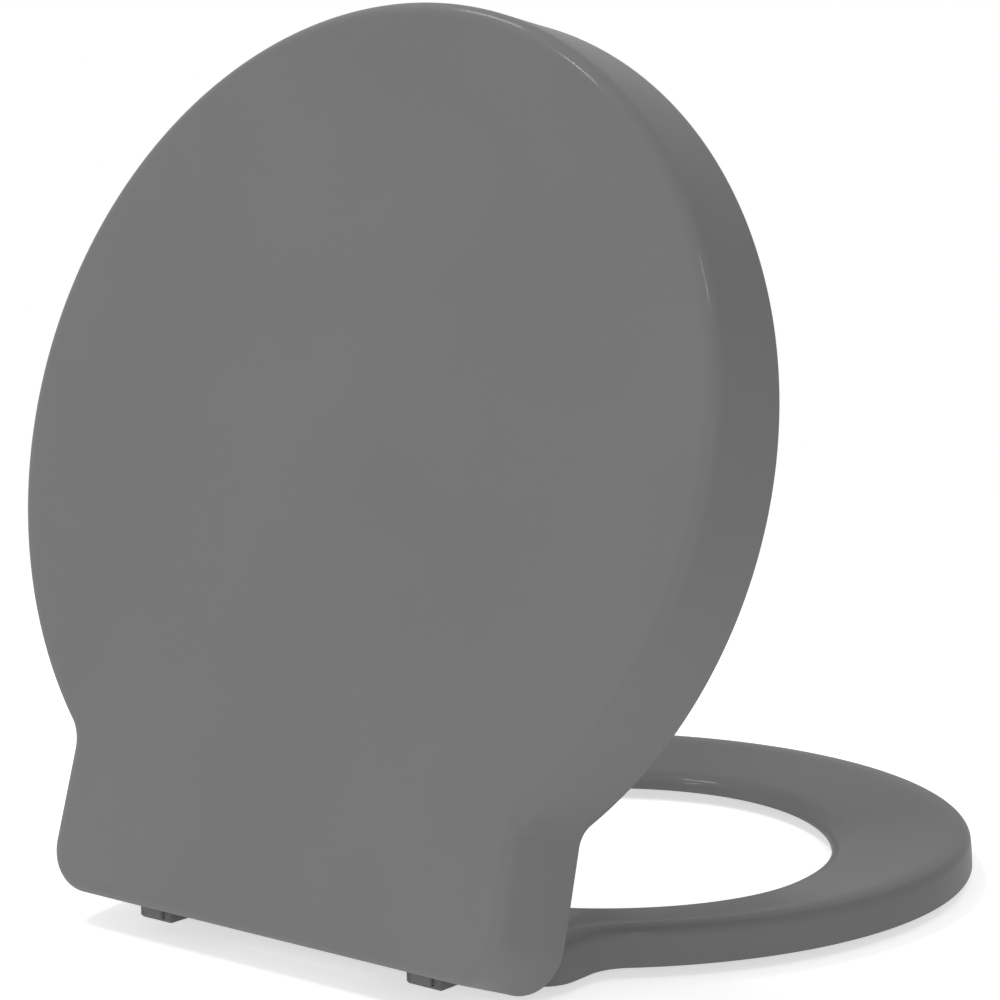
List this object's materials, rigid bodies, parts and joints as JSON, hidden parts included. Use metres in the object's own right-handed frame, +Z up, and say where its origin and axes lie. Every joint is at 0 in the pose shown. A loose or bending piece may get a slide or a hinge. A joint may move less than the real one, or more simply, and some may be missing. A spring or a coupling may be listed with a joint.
{
  "type": "toilet seat",
  "caption": "Round grey toilet seat with a deep closed-sided lid on soft-close hinges, lid standing open, with quick-release hinge posts.",
  "frame": {"origin": "on the level that the seat's four buffers stand on, midway between left and right and between the front of the seat and the back of the opened lid", "axes": "+X to the right as seen from the front, +Y to the back, where the hinges are, +Z up"},
  "size_m": [0.3764, 0.4001, 0.3942],
  "materials": {
    "lid_plastic": "satin",
    "seat_plastic": "satin",
    "post_plastic": "matte",
    "button_plastic": "matte",
    "pin_steel": "brushed",
    "spring_steel": "drawn wire",
    "damper_plastic": "satin",
    "rotor_plastic": "matte",
    "bush_plastic": "matte",
    "buffer_rubber": "matte"
  },
  "bodies": {
    "hinge_posts": {"left_hinge_post": "post_plastic", "right_hinge_post": "post_plastic", "left_hinge_pin": "pin_steel", "right_hinge_pin": "pin_steel", "left_button_spring": "spring_steel", "right_button_spring": "spring_steel", "lid_damper_rotor": "rotor_plastic", "seat_damper_rotor": "rotor_plastic"},
    "seat": {"seat_ring": "seat_plastic", "seat_damper_housing": "damper_plastic", "seat_damper_cap": "damper_plastic", "seat_hinge_bush": "bush_plastic", "seat_buffer_front_left": "buffer_rubber", "seat_buffer_front_right": "buffer_rubber", "seat_buffer_rear_left": "buffer_rubber", "seat_buffer_rear_right": "buffer_rubber"},
    "lid": {"lid_shell": "lid_plastic", "lid_damper_housing": "damper_plastic", "lid_damper_cap": "damper_plastic", "lid_hinge_bush": "bush_plastic", "lid_buffer_front_left": "buffer_rubber", "lid_buffer_front_right": "buffer_rubber", "lid_buffer_rear_left": "buffer_rubber", "lid_buffer_rear_right": "buffer_rubber"},
    "left_button": {"left_release_button": "button_plastic"},
    "right_button": {"right_release_button": "button_plastic"}
  },
  "joints": [
    {"name": "seat_lift", "type": "hinge", "parent": "hinge_posts", "child": "seat", "pos_m": [0, 0.17584, 0.0215], "axis": [-1, 0, 0], "range_deg": [0, 95]},
    {"name": "lid_lift", "type": "hinge", "parent": "seat", "child": "lid", "pos_m": [0, 0.17584, 0.0215], "axis": [-1, 0, 0], "range_deg": [-74.2, 25.8]},
    {"name": "left_button_push", "type": "slide", "parent": "hinge_posts", "child": "left_button", "axis": [0, -1, 0], "range_m": [0, 0.0018], "stiffness_N_per_m": 900, "deforming": ["left_button_spring"]},
    {"name": "right_button_push", "type": "slide", "parent": "hinge_posts", "child": "right_button", "axis": [0, -1, 0], "range_m": [0, 0.0018], "stiffness_N_per_m": 900, "deforming": ["right_button_spring"]}
  ]
}
